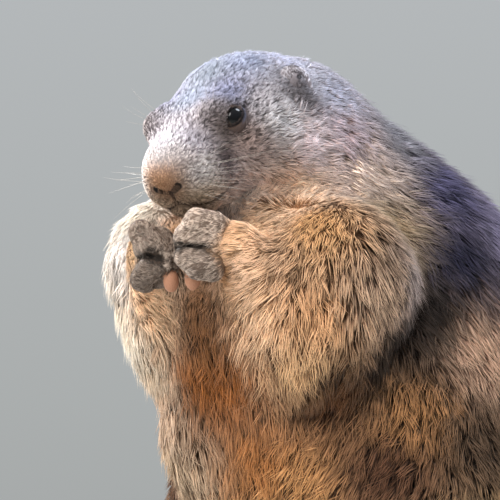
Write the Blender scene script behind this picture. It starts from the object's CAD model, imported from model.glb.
# %% [markdown]
# # An alpine marmot, sitting up
#
# This lesson dresses a plain solid marmot, made in CAD, until it looks like the living animal: a fat
# rodent of the high meadows that sits on its haunches with both hands held together at its mouth. The
# solid gives every size. What is added here is what CAD can't hold: a bare skin with the folds of the
# face, a quarter of a million tufts of hair that lie along the body, eyes, claws and whiskers.
#
# The work goes in the order that nature uses. First comes the shape of the body, then the skin a
# little under it, then the hair that fills the space between, and last the light and the camera.

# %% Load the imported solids
import math

import bmesh
import bpy
import numpy as np
from mathutils import Matrix, Vector, kdtree


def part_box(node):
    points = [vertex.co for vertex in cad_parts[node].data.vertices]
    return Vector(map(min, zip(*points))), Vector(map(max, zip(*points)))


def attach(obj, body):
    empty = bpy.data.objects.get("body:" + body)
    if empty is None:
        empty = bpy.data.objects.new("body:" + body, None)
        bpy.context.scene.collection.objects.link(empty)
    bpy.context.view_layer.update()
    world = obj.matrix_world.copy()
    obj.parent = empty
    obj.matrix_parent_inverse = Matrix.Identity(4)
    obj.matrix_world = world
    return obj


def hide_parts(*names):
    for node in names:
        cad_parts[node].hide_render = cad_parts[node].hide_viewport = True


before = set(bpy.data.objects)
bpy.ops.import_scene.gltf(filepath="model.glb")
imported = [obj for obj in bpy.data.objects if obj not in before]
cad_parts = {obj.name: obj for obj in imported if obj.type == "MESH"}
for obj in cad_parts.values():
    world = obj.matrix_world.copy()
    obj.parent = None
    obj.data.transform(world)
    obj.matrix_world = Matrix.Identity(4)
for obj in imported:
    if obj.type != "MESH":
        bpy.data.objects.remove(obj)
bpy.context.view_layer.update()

# %% [markdown]
# ## Soft shapes from distances
#
# A marmot has no edges, so it is described as balls and tapered limbs that melt into one another. Each
# of them answers one question: how far is this point from my surface? The smallest answer, rounded
# over where two are close, is the distance to the whole animal. That is worth the trouble, because the
# same distance later tells how deep the skin lies, how high each hair reaches, and which way is out.
# Sizes here are in millimetres, as in the solid.

# %% Balls and limbs
MM = 0.001
MIRROR = np.diag([-1.0, 1.0, 1.0])
EXACT_WITHIN = 40.0


def turned(pitch=0.0, roll=0.0, yaw=0.0):
    """The rotation that pitches about X, then rolls about Y, then yaws about Z, in degrees."""
    parts = [Matrix.Rotation(math.radians(yaw), 3, "Z"), Matrix.Rotation(math.radians(roll), 3, "Y"),
             Matrix.Rotation(math.radians(pitch), 3, "X")]
    return np.array(parts[0] @ parts[1] @ parts[2])


class Ball:
    """An ellipsoid. Far from it the distance to its bounding sphere serves as well, and is quicker."""

    def __init__(self, centre, radii, turn=None):
        self.centre, self.radii = np.array(centre, float), np.array(radii, float)
        self.turn = np.eye(3) if turn is None else turn

    def distance(self, points):
        away = points - self.centre
        far = np.linalg.norm(away, axis=1) - self.radii.max()
        found = np.maximum(far, 1.0)
        near = far < EXACT_WITHIN
        local = away[near] @ self.turn
        level = np.linalg.norm(local / self.radii, axis=1)
        slope = np.linalg.norm(local / self.radii**2, axis=1)
        found[near] = level * (level - 1.0) / np.maximum(slope, 1e-9)
        return found

    def placed(self, origin, turn):
        return Ball(origin + turn @ self.centre, self.radii, turn @ self.turn)

    def mirrored(self):
        return Ball(MIRROR @ self.centre, self.radii, MIRROR @ self.turn @ MIRROR)

    def bulbs(self):
        return [(self.centre, self.radii, self.turn)]


class Limb:
    """A tapered rod with round ends."""

    def __init__(self, start, end, start_radius, end_radius):
        self.start, self.end = np.array(start, float), np.array(end, float)
        self.radii = (start_radius, end_radius)

    def distance(self, points):
        along = self.end - self.start
        share = np.clip((points - self.start) @ along / (along @ along), 0.0, 1.0)
        radius = self.radii[0] + (self.radii[1] - self.radii[0]) * share
        return np.linalg.norm(points - self.start - share[:, None] * along, axis=1) - radius

    def placed(self, origin, turn):
        return Limb(origin + turn @ self.start, origin + turn @ self.end, *self.radii)

    def mirrored(self):
        return Limb(MIRROR @ self.start, MIRROR @ self.end, *self.radii)

    def bulbs(self):
        count = 2 + int(np.linalg.norm(self.end - self.start) / (0.35 * min(self.radii) + 0.1))
        return [(self.start + (self.end - self.start) * t,
                 np.full(3, self.radii[0] + (self.radii[1] - self.radii[0]) * t), np.eye(3))
                for t in np.linspace(0.0, 1.0, count)]


# %% Forms that melt together, and forms that are cut away
def soft_min(first, second, join):
    """The nearer of two distances, rounded over where they are within join of each other."""
    share = np.clip(0.5 + 0.5 * (second - first) / join, 0.0, 1.0)
    return second + (first - second) * share - join * share * (1.0 - share)


class Melted:
    """Forms that run into one another, rounded over join."""

    def __init__(self, forms, join):
        self.forms, self.join = list(forms), join

    def distance(self, points):
        found = self.forms[0].distance(points)
        for form in self.forms[1:]:
            found = soft_min(found, form.distance(points), self.join)
        return found

    def placed(self, origin, turn):
        return Melted([form.placed(origin, turn) for form in self.forms], self.join)

    def mirrored(self):
        return Melted([form.mirrored() for form in self.forms], self.join)

    def bulbs(self):
        return [bulb for form in self.forms for bulb in form.bulbs()]


class Carved:
    """A form with others cut away, with an edge rounded over join."""

    def __init__(self, form, cuts, join):
        self.form, self.cuts, self.join = form, list(cuts), join

    def distance(self, points):
        found = self.form.distance(points)
        for cut in self.cuts:
            found = -soft_min(-found, cut.distance(points), self.join)
        return found

    def bulbs(self):
        return self.form.bulbs()


# %% [markdown]
# ## The animal's own forms
#
# These are the solid's named forms over again, because the solid gives only its finished surface and
# the skin needs to know what lies between. The head is described in a frame of its own, with the tip
# of the nose as its origin, and then pitched down and rolled a little as the animal holds it. One
# measurement ties the two together: the middle of the solid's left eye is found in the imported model,
# and the difference from the eye here says how far the whole drawing has to be shifted.

# %% Head and trunk
NOSE_TIP = np.array((0.0, -19.0, 262.0))
HEAD_TURN = turned(pitch=30.0, roll=-4.0)
EYE_RADIUS = 8.2
EYE_PLACE = (26.0, 38.8, 10.9)
EYE_FACING = (0.86, -0.42, 0.42)
EAR_PLACE = (36.7, 85.7, 8.0)
HEAD_JOIN, TRUNK_JOIN, ARM_JOIN, LEG_JOIN, TAIL_JOIN, BODY_JOIN = 9.0, 26.0, 8.0, 12.0, 14.0, 14.0


def head_point(place):
    return NOSE_TIP + HEAD_TURN @ np.array(place, float)


def head_forms():
    skull = Ball((0, 75, 5), (37, 38, 29.5))
    brow = Ball((0, 46, 9), (32, 28, 18))
    bridge = Ball((0, 25, 2), (22, 28, 16))
    muzzle = Ball((0, 14, -4), (21, 15, 16))
    lip = Ball((11, 13, -10), (12, 13, 12))
    cheek = Ball((27, 64, -8), (20, 32, 24))
    jaw = Ball((0, 42, -17), (23, 34, 15))
    chin = Ball((0, 15, -22), (13, 12, 9))
    ridge = Ball((20, 35, 18), (8.5, 11, 7))
    forms = [skull, brow, bridge, muzzle, lip, lip.mirrored(), cheek, cheek.mirrored(), jaw, chin,
             ridge, ridge.mirrored()]
    return Melted(forms, HEAD_JOIN).placed(NOSE_TIP, HEAD_TURN)


def trunk_forms():
    nape = Limb((0, 82, 283), (0, 132, 250), 53, 58)
    chest = Ball((0, 74, 190), (70, 66, 80))
    shoulders = Ball((0, 158, 207), (92, 94, 81))
    back = Ball((0, 176, 150), (98, 94, 92))
    belly = Ball((0, 144, 112), (104, 104, 108))
    rump = Ball((0, 196, 82), (102, 88, 90))
    far_fold = Ball((-38, 54, 130), (20, 22, 32))
    return Melted([chest, shoulders, back, belly, rump, nape, far_fold], TRUNK_JOIN)


# %% Limbs and tail
def arm_forms():
    left_upper = Limb((54, 62, 208), (48, 52, 184), 44, 41)
    right_upper = Limb((-57, 57, 218), (-50, 62, 180), 43, 39)
    forearm = Limb((45, 42, 186), (30, 6, 222), 27, 15)
    return [Melted([left_upper, forearm], ARM_JOIN), Melted([right_upper, forearm.mirrored()], ARM_JOIN)]


def leg_forms():
    thigh = Ball((74, 146, 66), (44, 68, 68))
    shank = Limb((76, 98, 56), (64, 112, 24), 30, 18)
    leg = Melted([thigh, shank], LEG_JOIN)
    return [leg, leg.mirrored()]


def tail_forms():
    root = Limb((0, 252, 34), (-20, 318, 26), 38, 30)
    brush = Limb((-20, 318, 26), (-60.5, 381, 15), 30, 18)
    return Melted([root, brush], TAIL_JOIN)


def body_forms():
    forms = [trunk_forms(), head_forms(), *arm_forms(), *leg_forms(), tail_forms()]
    return Melted(forms, BODY_JOIN)


# %% Hands and feet
# each finger's level, its radius, and how far it stops short of the middle
FINGERS = ((236.5, 6.6, 8.0), (229.0, 6.6, 1.0), (217.4, 6.2, 1.0), (211.0, 5.4, 8.5))
FINGER_JOIN, PAIR_JOIN, HAND_JOIN = 2.0, 5.0, 1.4
GRIP_LEVEL = 221.0
RIGHT_HAND_DROP = 4.0
HEEL_PAD = Ball((10.4, -8.0, 206.5), (4.2, 4.6, 6.2))
THUMB_PAD = Ball((4.6, -8.5, 210.0), (4.2, 4.4, 6.2))
HEEL_Y, FOOT_BALL_Y, TOE_TIP_Y = 118.0, 52.2, 39.0
FOOT_JOIN = 3.0


def finger_line(level, back):
    """Knuckle, bend and tip of a curled finger of the left hand."""
    tip_level = GRIP_LEVEL + 0.5 * (level - GRIP_LEVEL)
    return (24.5, -7.0, level - 1.0), (12.0 + back, -15.5, level), (5.4 + back, -11.5, tip_level)


def hand_forms(pad):
    fingers = []
    for level, radius, back in FINGERS:
        knuckle, bend, tip = finger_line(level, back)
        bones = [Limb(knuckle, bend, radius, radius), Limb(bend, tip, radius, 0.72 * radius)]
        fingers.append(Melted(bones, FINGER_JOIN))
    palm = Ball((21, 0, 224), (12, 11, 17))
    wrist = Limb((25, 2, 222), (30, 6, 222), 12, 13)
    pairs = [Melted(fingers[:2], PAIR_JOIN), Melted(fingers[2:], PAIR_JOIN)]
    return Melted([palm, wrist, *pairs, pad], HAND_JOIN)


def toe_lines():
    """Root and tip of each toe of the left foot, from the inner toe to the outer."""
    root_y = FOOT_BALL_Y - 4.0
    found = []
    for spread in range(-2, 3):
        length = (1.0 - 0.09 * abs(spread - 0.3)) * (root_y - TOE_TIP_Y)
        found.append((np.array((56.0 + 6.6 * spread, root_y, 7.0)),
                      np.array((55.0 + 8.6 * spread, root_y - length, 5.5))))
    return found


def foot_forms():
    sole = Limb((62, HEEL_Y, 13), (57, FOOT_BALL_Y, 9), 15, 11)
    ball = Ball((56, FOOT_BALL_Y, 8), (17, 14, 9))
    toes = [Limb(root, tip, 5.6, 4.6) for root, tip in toe_lines()]
    return Melted([sole, ball, *toes], FOOT_JOIN)


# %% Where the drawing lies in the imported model
def eye_centre(side):
    return head_point((side * EYE_PLACE[0], EYE_PLACE[1], EYE_PLACE[2]))


low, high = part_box("eye_left")
SHIFT = np.array((low + high) / 2.0) / MM - eye_centre(1.0)
print("shift of the drawing, mm:", SHIFT.round(2))

# %% [markdown]
# ## How long the hair is, and how deep the skin lies
#
# A marmot's hair is a few millimetres long on its face and over twenty on its back. The solid reaches
# to the tips of the coat, so the skin has to lie inside it by the depth of the coat there. Both are
# written down for some thirty places and blended between them: each point listens to the places
# near it, the nearer the louder. The same blending serves the colours and the lie of the hair
# further on, so it is a function of its own.

# %% Blending between named places
def rising(values, start, end):
    """0 up to start, 1 from end on and even between them. It falls where end is the lower of the two."""
    return np.clip((values - start) / (end - start), 0.0, 1.0)


def blended(points, places, values, softness):
    """Values at points, each the mean of the values at the named places, weighted by nearness."""
    total = np.zeros((len(points), values.shape[1]))
    weight = np.zeros(len(points))
    for place, value in zip(places, values):
        near = 1.0 / (softness**2 + ((points - place) ** 2).sum(axis=1)) ** 2
        total += near[:, None] * value
        weight += near
    return total / weight[:, None]


MIDLINE = 0.5


def both_sides(head_rows, body_rows):
    """Places and values of rows on the head, in its own frame, then of rows on the body.

    A row to the animal's left of its midline is repeated to its right.
    """
    places, values = [], []
    for rows, turn, origin in ((head_rows, HEAD_TURN, NOSE_TIP), (body_rows, np.eye(3), np.zeros(3))):
        for place, *rest in rows:
            for side in ((1.0, -1.0) if place[0] > MIDLINE else (1.0,)):
                places.append(origin + turn @ np.array((side * place[0], place[1], place[2]), float))
                values.append([side, turn, *rest])
    return np.array(places), values


# %% Hair depth and length at named places
FULL_COAT_DEPTH = 9.0
FULL_COAT_LENGTH = 23.0
HAIR_SOFTNESS = 3.0
SHORT_HAIR_ON_HEAD = (
    ((0, -3, -4), 0.25, 1.3),
    ((0, 3, 6), 0.5, 2.4),
    ((9, 3, -16), 0.7, 2.6),
    ((0, 12, -31), 1.2, 4.0),
    ((0, 15, 14), 1.0, 4.0),
    ((20, 8, -4), 1.0, 4.0),
    ((23, 24, -9), 1.5, 6.0),
    ((29.5, 38, 14), 0.5, 2.3),
    ((21, 47, 25), 1.5, 5.5),
    ((0, 45, 28), 1.6, 6.0),
    ((0, 78, 32), 2.6, 9.0),
    ((36, 82, 20), 2.0, 6.5),
    ((38, 76, 8), 1.6, 5.5),
    ((41, 94, 4), 2.2, 7.0),
    ((42, 60, -8), 3.4, 12.0),
    ((24, 42, -31), 3.0, 12.0),
    ((0, 60, -40), 4.5, 15.0),
)
SHORT_HAIR_ON_BODY = (
    ((50, 40, 243), 3.5, 10.0),
    ((52, 75, 282), 6.0, 19.0),
    ((0, 100, 335), 5.0, 15.0),
    ((34, 0, 214), 2.6, 10.0),
    ((45, 14, 200), 5.0, 17.0),
    ((60, 100, 12), 1.6, 7.0),
    ((50, 160, 2), 3.0, 14.0),
    ((0, 200, 2), 3.0, 14.0),
)
# the face, the hands, the feet and the seat: a centre, where the coat starts and where it is full
BARE_ZONES = (
    ((0, 35, 268), 66.0, 96.0),
    ((26, -2, 222), 22.0, 50.0),
    ((-26, -2, 222), 22.0, 50.0),
    ((60, 74, 4), 30.0, 60.0),
    ((-60, 74, 4), 30.0, 60.0),
    ((0, 170, -60), 66.0, 96.0),
)
short_places, short_rows = both_sides(SHORT_HAIR_ON_HEAD, SHORT_HAIR_ON_BODY)
short_values = np.array([row[2:] for row in short_rows], float)


def full_coat_share(points):
    """1 where the coat is long, 0 on the face, hands, feet and seat."""
    share = np.ones(len(points))
    for centre, inner, outer in BARE_ZONES:
        ramp = rising(np.linalg.norm(points - np.array(centre, float), axis=1), inner, outer)
        share = np.minimum(share, ramp * ramp * (3.0 - 2.0 * ramp))
    return share


def hair_at(points):
    """Depth of the coat and length of the hair at each point."""
    share = full_coat_share(points)[:, None]
    short = blended(points, short_places, short_values, HAIR_SOFTNESS)
    full = np.array((FULL_COAT_DEPTH, FULL_COAT_LENGTH))
    return share * full + (1.0 - share) * short


# %% [markdown]
# ## The skin
#
# The skin is one closed surface. A remesh turns the overlapping balls into an even net, and then each
# corner of the net slides along the slope of the distance until it sits where the distance is right.
# The face needs a finer net than the back, so the faces round the eyes, nose and mouth are split
# before the last slide. The lids are a shell over the eyeball with an opening in it and a rim of thin
# rods. Nostrils, the mouth and the cleft of the lip are cut away, all with soft edges, as skin has.

# %% Helpers for meshes
def new_object(name, mesh):
    obj = bpy.data.objects.new(name, mesh)
    bpy.context.scene.collection.objects.link(obj)
    return obj


def applied(obj):
    """Makes the object's modifiers permanent."""
    bpy.context.view_layer.update()
    made = bpy.data.meshes.new_from_object(obj.evaluated_get(bpy.context.evaluated_depsgraph_get()))
    old = obj.data
    obj.modifiers.clear()
    obj.data = made
    bpy.data.meshes.remove(old)


def corners_of(mesh):
    """The mesh's corners in the drawing's millimetres."""
    flat = np.empty(len(mesh.vertices) * 3, np.float32)
    mesh.vertices.foreach_get("co", flat)
    return flat.reshape(-1, 3).astype(float) / MM - SHIFT


def put_corners(mesh, points):
    mesh.vertices.foreach_set("co", ((points + SHIFT) * MM).astype(np.float32).ravel())
    mesh.update()


def slope_of(form, points, here, step=0.3):
    slope = np.empty_like(points)
    for axis in range(3):
        nudge = np.zeros(3)
        nudge[axis] = step
        slope[:, axis] = (form.distance(points + nudge) - here) / step
    return slope


def settled(points, form, rounds=4, reach=3.0):
    """Slides points along the slope of the distance to the surface of a form."""
    for _ in range(rounds):
        here = form.distance(points)
        slope = slope_of(form, points, here)
        move = slope * (here / np.maximum((slope**2).sum(axis=1), 0.05))[:, None]
        length = np.linalg.norm(move, axis=1, keepdims=True)
        points = points - move * np.minimum(1.0, reach / np.maximum(length, 1e-9))
    return points


# %% A net over a form
def netted(name, form, voxel, rounds=3):
    """An even mesh over the surface of a form."""
    bm = bmesh.new()
    for centre, radii, turn in form.bulbs():
        place = Matrix.Translation(Vector((centre + SHIFT) * MM))
        stretch = Matrix(turn).to_4x4() @ Matrix.Diagonal(Vector((*(radii * MM), 1.0)))
        bmesh.ops.create_icosphere(bm, subdivisions=3, radius=1.0, matrix=place @ stretch)
    mesh = bpy.data.meshes.new(name)
    bm.to_mesh(mesh)
    bm.free()
    obj = new_object(name, mesh)
    for _ in range(2):
        modifier = obj.modifiers.new("Remesh", "REMESH")
        modifier.mode = "VOXEL"
        modifier.voxel_size = voxel * MM
        applied(obj)
        put_corners(obj.data, settled(corners_of(obj.data), form, rounds))
    return obj


def split_near(obj, places):
    """Splits every edge near one of the places, each a centre and a radius, in two."""
    bm = bmesh.new()
    bm.from_mesh(obj.data)
    middles = np.array([(edge.verts[0].co + edge.verts[1].co) / 2.0 for edge in bm.edges]) / MM - SHIFT
    near = np.zeros(len(middles), bool)
    for centre, radius in places:
        near |= np.linalg.norm(middles - np.array(centre), axis=1) < radius
    bm.edges.ensure_lookup_table()
    chosen = [bm.edges[index] for index in np.flatnonzero(near)]
    bmesh.ops.subdivide_edges(bm, edges=chosen, cuts=1, use_grid_fill=True)
    bmesh.ops.triangulate(bm, faces=[face for face in bm.faces if len(face.verts) > 4])
    bm.to_mesh(obj.data)
    bm.free()


# %% Lids, mouth and nostrils
LID_OPENING = (1.4, 0.60)
LID_CORNER = 0.35
LID_SLANT = math.radians(14.0)
LID_RADIUS = 0.6
LID_LIFT = 0.14
LID_DEPTH = 0.75
RIM_OUT = 0.5
LID_SLOT = (7.4, 4.3, 6.0)
LID_CORNERS = (((26.9, 32.0, 11.6), (26.0, 29.0, 9.6)), ((31.5, 45.5, 15.2), (30.5, 48.6, 17.4)))


def eye_axes(side):
    """Out of the eye, towards its rear corner, and up, as unit directions on the head."""
    facing = np.array((side * EYE_FACING[0], EYE_FACING[1], EYE_FACING[2]))
    facing /= np.linalg.norm(facing)
    backward = np.array((0.0, math.cos(LID_SLANT), math.sin(LID_SLANT)))
    backward -= facing * (backward @ facing)
    backward /= np.linalg.norm(backward)
    return facing, backward, np.cross(facing, backward) * side


def lid_forms(side):
    """The rim of the lids: short rods round an almond opening, on the surface of the eyeball."""
    facing, backward, upward = eye_axes(side)
    ring = []
    for turn in np.linspace(0.0, 2.0 * math.pi, 24, endpoint=False):
        across = math.cos(turn) * LID_OPENING[0]
        height = math.sin(turn) * abs(math.sin(turn)) ** LID_CORNER * LID_OPENING[1]
        out = facing + across * backward + (height + LID_LIFT) * upward
        ring.append(eye_centre(side) + HEAD_TURN @ out / np.linalg.norm(out) * (EYE_RADIUS + RIM_OUT))
    return [Limb(a, b, LID_RADIUS, LID_RADIUS) for a, b in zip(ring, ring[1:] + ring[:1])]


def lid_slot(side):
    """The opening between the lids, cut through the skin in front of the eyeball."""
    facing, backward, upward = eye_axes(side)
    turn = HEAD_TURN @ np.stack([backward, upward, facing], axis=1)
    middle = facing + LID_LIFT * upward
    return Ball(eye_centre(side) + HEAD_TURN @ middle * (EYE_RADIUS + RIM_OUT), LID_SLOT, turn)


def corner_marks(side):
    """The dark points at the front and rear corners of the lids."""
    ends = [[head_point((side * x, y, z)) for x, y, z in pair] for pair in LID_CORNERS]
    return [Limb(near, far, 1.0, 0.3) for near, far in ends]


class Skin:
    """The body's form, moved in by the depth of the coat."""

    def __init__(self, form):
        self.form = form

    def distance(self, points):
        return self.form.distance(points) + hair_at(points)[:, 0]


def run_of_rods(points, radii):
    return [Limb(a, b, r, s) for a, b, r, s in zip(points, points[1:], radii, radii[1:])]


# %% The line of the mouth, the cleft of the lip and the nostrils
body = body_forms()
bare_body = Skin(body)
MOUTH_CORNER, MOUTH_FRONT = np.array((22.0, 27.0, -21.0)), np.array((0.0, 0.5, -17.0))
MOUTH_RADIUS, CLEFT_RADIUS, NOSTRIL_RADII = 0.8, 0.55, (0.7, 1.7)
CLEFT_TOP, CLEFT_DROP = np.array((0.0, -3.0, -9.8)), np.array((0.0, 3.5, -7.2))
NOSTRIL_ENDS = ((0.3, -3.0, -11.4), (7.8, -1.5, -6.4))


def rods_on_skin(places, radius):
    """A run of rods along places on the head, laid on the skin."""
    points = settled(np.array([head_point(place) for place in places]), bare_body)
    return run_of_rods(list(points), np.full(len(points), radius))


mouth_places = []
for share in np.linspace(-1.0, 1.0, 23):
    sweep = abs(share)
    bend = np.array((share, sweep**2, math.sin(sweep * math.pi / 2.0)))
    mouth_places.append(MOUTH_FRONT + (MOUTH_CORNER - MOUTH_FRONT) * bend)
mouth = rods_on_skin(mouth_places, MOUTH_RADIUS)
cleft = rods_on_skin([CLEFT_TOP + CLEFT_DROP * t for t in np.linspace(0.0, 1.0, 5)], CLEFT_RADIUS)
nostrils = []
for side in (1.0, -1.0):
    ends = settled(np.array([head_point((side * x, y, z)) for x, y, z in NOSTRIL_ENDS]), bare_body)
    nostrils.append(Limb(*ends, *NOSTRIL_RADII))
print("mouth corner at", head_point(mouth_places[0]).round(1), "nostrils", len(nostrils))

# %% The skin itself
BODY_VOXEL = 2.3
SOCKET_GAP = 0.12
CREASE_JOIN, LID_JOIN, SLOT_JOIN, RIM_JOIN, SOCKET_JOIN = 0.9, 1.2, 0.4, 0.6, 0.2
lids = [rod for side in (1.0, -1.0) for rod in lid_forms(side)]
lid_corners = corner_marks(1.0) + corner_marks(-1.0)
sockets = [Ball(eye_centre(side), np.full(3, EYE_RADIUS + SOCKET_GAP)) for side in (1.0, -1.0)]
lid_shells = [Ball(eye_centre(side), np.full(3, EYE_RADIUS + LID_DEPTH)) for side in (1.0, -1.0)]
covered = Melted([Carved(bare_body, mouth + cleft + nostrils, CREASE_JOIN), *lid_shells], LID_JOIN)
opened = Carved(covered, [lid_slot(side) for side in (1.0, -1.0)], SLOT_JOIN)
face_form = Carved(Melted([opened, Melted(lids, 0.3)], RIM_JOIN), sockets, SOCKET_JOIN)
skin = netted("skin", body, BODY_VOXEL, rounds=2)
put_corners(skin.data, settled(corners_of(skin.data), bare_body, 2, reach=6.0))
fine_places = [(head_point((0, 6, -8)), 24.0)]
for side in (1.0, -1.0):
    fine_places += [(head_point((side * 15, 18, -16)), 13.0), (eye_centre(side), 14.0)]
split_near(skin, [(head_point((0, 26, 2)), 56.0)])
split_near(skin, fine_places)
put_corners(skin.data, settled(corners_of(skin.data), face_form, 5))
print("skin:", len(skin.data.vertices), "corners")

# %% [markdown]
# ## Ears, hands and feet
#
# These are small and sharply folded, so each is netted by itself at a finer spacing and set into the
# skin, where the hair hides the join. An ear is a low round flap with a hollow cut into its front. A
# hand is a fist: two pairs of fingers melted together, with a crease between the pairs.

# %% Nets for the small pieces
EAR_TURN = turned(roll=-14.0, yaw=-28.0)
FURROW = ((6, -15, 221), (11, -19.5, 223.2), (18, -17.5, 223.6), (26, -12, 222.4), (31, -8, 218))
FURROW_RADII = (0.6, 1.1, 1.3, 0.9, 0.4)
FOLD_JOIN = 1.2
SIDES = {"left": 1.0, "right": -1.0}


def ear_form(side):
    flap = Ball(EAR_PLACE, (4.2, 9.8, 11.8), EAR_TURN)
    hollow = Ball(np.array(EAR_PLACE) + EAR_TURN @ np.array((3.6, 1.5, -1.5)), (3.6, 6.6, 8.0), EAR_TURN)
    if side < 0:
        flap, hollow = flap.mirrored(), hollow.mirrored()
    return Carved(flap.placed(NOSE_TIP, HEAD_TURN), [hollow.placed(NOSE_TIP, HEAD_TURN)], FOLD_JOIN)


def drop_of(side):
    return np.array((0.0, 0.0, 0.0 if side > 0 else -RIGHT_HAND_DROP))


def pad_form(side):
    return (HEEL_PAD if side > 0 else THUMB_PAD.mirrored()).placed(drop_of(side), np.eye(3))


def crease_form(side):
    """The furrow between the upper pair of fingers and the lower."""
    furrow = Melted(run_of_rods(FURROW, FURROW_RADII), 0.5)
    return (furrow if side > 0 else furrow.mirrored()).placed(drop_of(side), np.eye(3))


def hand_form(side):
    form = hand_forms(HEEL_PAD) if side > 0 else hand_forms(THUMB_PAD).mirrored()
    return Carved(form.placed(drop_of(side), np.eye(3)), [crease_form(side)], FOLD_JOIN)


def foot_form(side):
    return foot_forms() if side > 0 else foot_forms().mirrored()


small_forms, small_skins = {}, {}
for kind, form_of, voxel in (("ear", ear_form, 0.8), ("hand", hand_form, 0.9), ("foot", foot_form, 1.3)):
    for side_name, side in SIDES.items():
        name = f"{kind}_skin_{side_name}"
        small_forms[name] = form_of(side)
        small_skins[name] = netted(name, small_forms[name], voxel)
print({name: len(piece.data.vertices) for name, piece in small_skins.items()})

# %% Nothing reaches under the floor
for piece in (skin, *small_skins.values()):
    points = corners_of(piece.data)
    points[:, 2] = np.maximum(points[:, 2], 0.0)
    put_corners(piece.data, points)
    piece.data.shade_smooth()

# %% [markdown]
# ## The unwrap
#
# Every hair takes its place on a flat map from the skin that it grows on. The skin is unwrapped once,
# into flat islands of its own shape, and each tuft later becomes a tiny patch of that map at its root.

# %% Unwrap every skin
UV_NAME = "OFBake"


def unwrap(obj):
    bpy.context.view_layer.objects.active = obj
    obj.select_set(True)
    obj.data.uv_layers.new(name=UV_NAME)
    bpy.ops.object.mode_set(mode="EDIT")
    bpy.ops.mesh.select_all(action="SELECT")
    bpy.ops.uv.smart_project(angle_limit=math.radians(66.0), island_margin=0.003)
    bpy.ops.object.mode_set(mode="OBJECT")
    obj.select_set(False)


for piece in (skin, *small_skins.values()):
    unwrap(piece)
print("unwrapped", 1 + len(small_skins), "skins")

# %% [markdown]
# ## Markings
#
# A marmot's hair is dark at the root and pale at the tip, and both change over the body: slate grey
# on the head, near white on the bridge of the nose, tan on the arms, rust on the chest, blue black
# over the back. The colours are written down for named places, tip and root together, and blended.
# Skin and hair read the same list, so that they always agree.

# %% Colours of hair tip and hair root at named places
HEAD_MARKINGS = (
    # nose, muzzle, brow, crown, cheeks and jaw
    ((3, -3, 1), (230, 176, 126), (164, 116, 78)),
    ((3, -2.5, -4), (140, 96, 56), (84, 52, 26)),
    ((8, -1, -5), (112, 84, 50), (60, 42, 24)),
    ((-4, -2, -3), (196, 146, 98), (130, 88, 56)),
    ((0, 0, 9), (240, 235, 240), (210, 210, 210)),
    ((0, 9, 14), (235, 230, 240), (195, 190, 195)),
    ((8, 4, 8), (245, 235, 230), (190, 180, 180)),
    ((12, 14, 10), (210, 205, 215), (150, 140, 150)),
    ((16, 3, -4), (225, 225, 225), (135, 125, 125)),
    ((13, 3, -14), (245, 215, 185), (130, 115, 90)),
    ((4, 1, -20), (190, 166, 140), (96, 78, 62)),
    ((21, 47, 24), (160, 160, 185), (65, 65, 80)),
    ((0, 40, 27), (180, 185, 200), (95, 100, 115)),
    ((0, 60, 31), (160, 165, 175), (75, 80, 90)),
    ((15, 75, 29), (175, 180, 200), (75, 75, 95)),
    ((26, 93, 22), (225, 225, 245), (120, 110, 110)),
    ((24, 30, 12), (130, 115, 108), (58, 48, 44)),
    ((32, 35, 0), (180, 155, 145), (80, 65, 60)),
    ((22, 23, -8), (146, 132, 136), (66, 58, 61)),
    ((19, 32, -24), (240, 222, 218), (165, 148, 146)),
    ((10, 32, -35), (235, 215, 200), (120, 100, 90)),
    ((26, 42, -31), (245, 212, 186), (155, 120, 95)),
    ((43, 51, 2), (230, 225, 225), (110, 100, 95)),
    ((37, 53, 12), (205, 195, 195), (85, 80, 85)),
    ((45, 62, -17), (245, 228, 230), (205, 180, 175)),
    ((35, 48, -39), (245, 215, 185), (230, 185, 145)),
    ((47, 100, -2), (225, 225, 245), (120, 110, 110)),
    ((36, 83, 17), (185, 178, 180), (100, 92, 94)),
    ((37, 77, 3), (62, 50, 46), (26, 21, 20)),
    ((40, 95, 8), (225, 222, 232), (120, 112, 118)),
)
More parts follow.
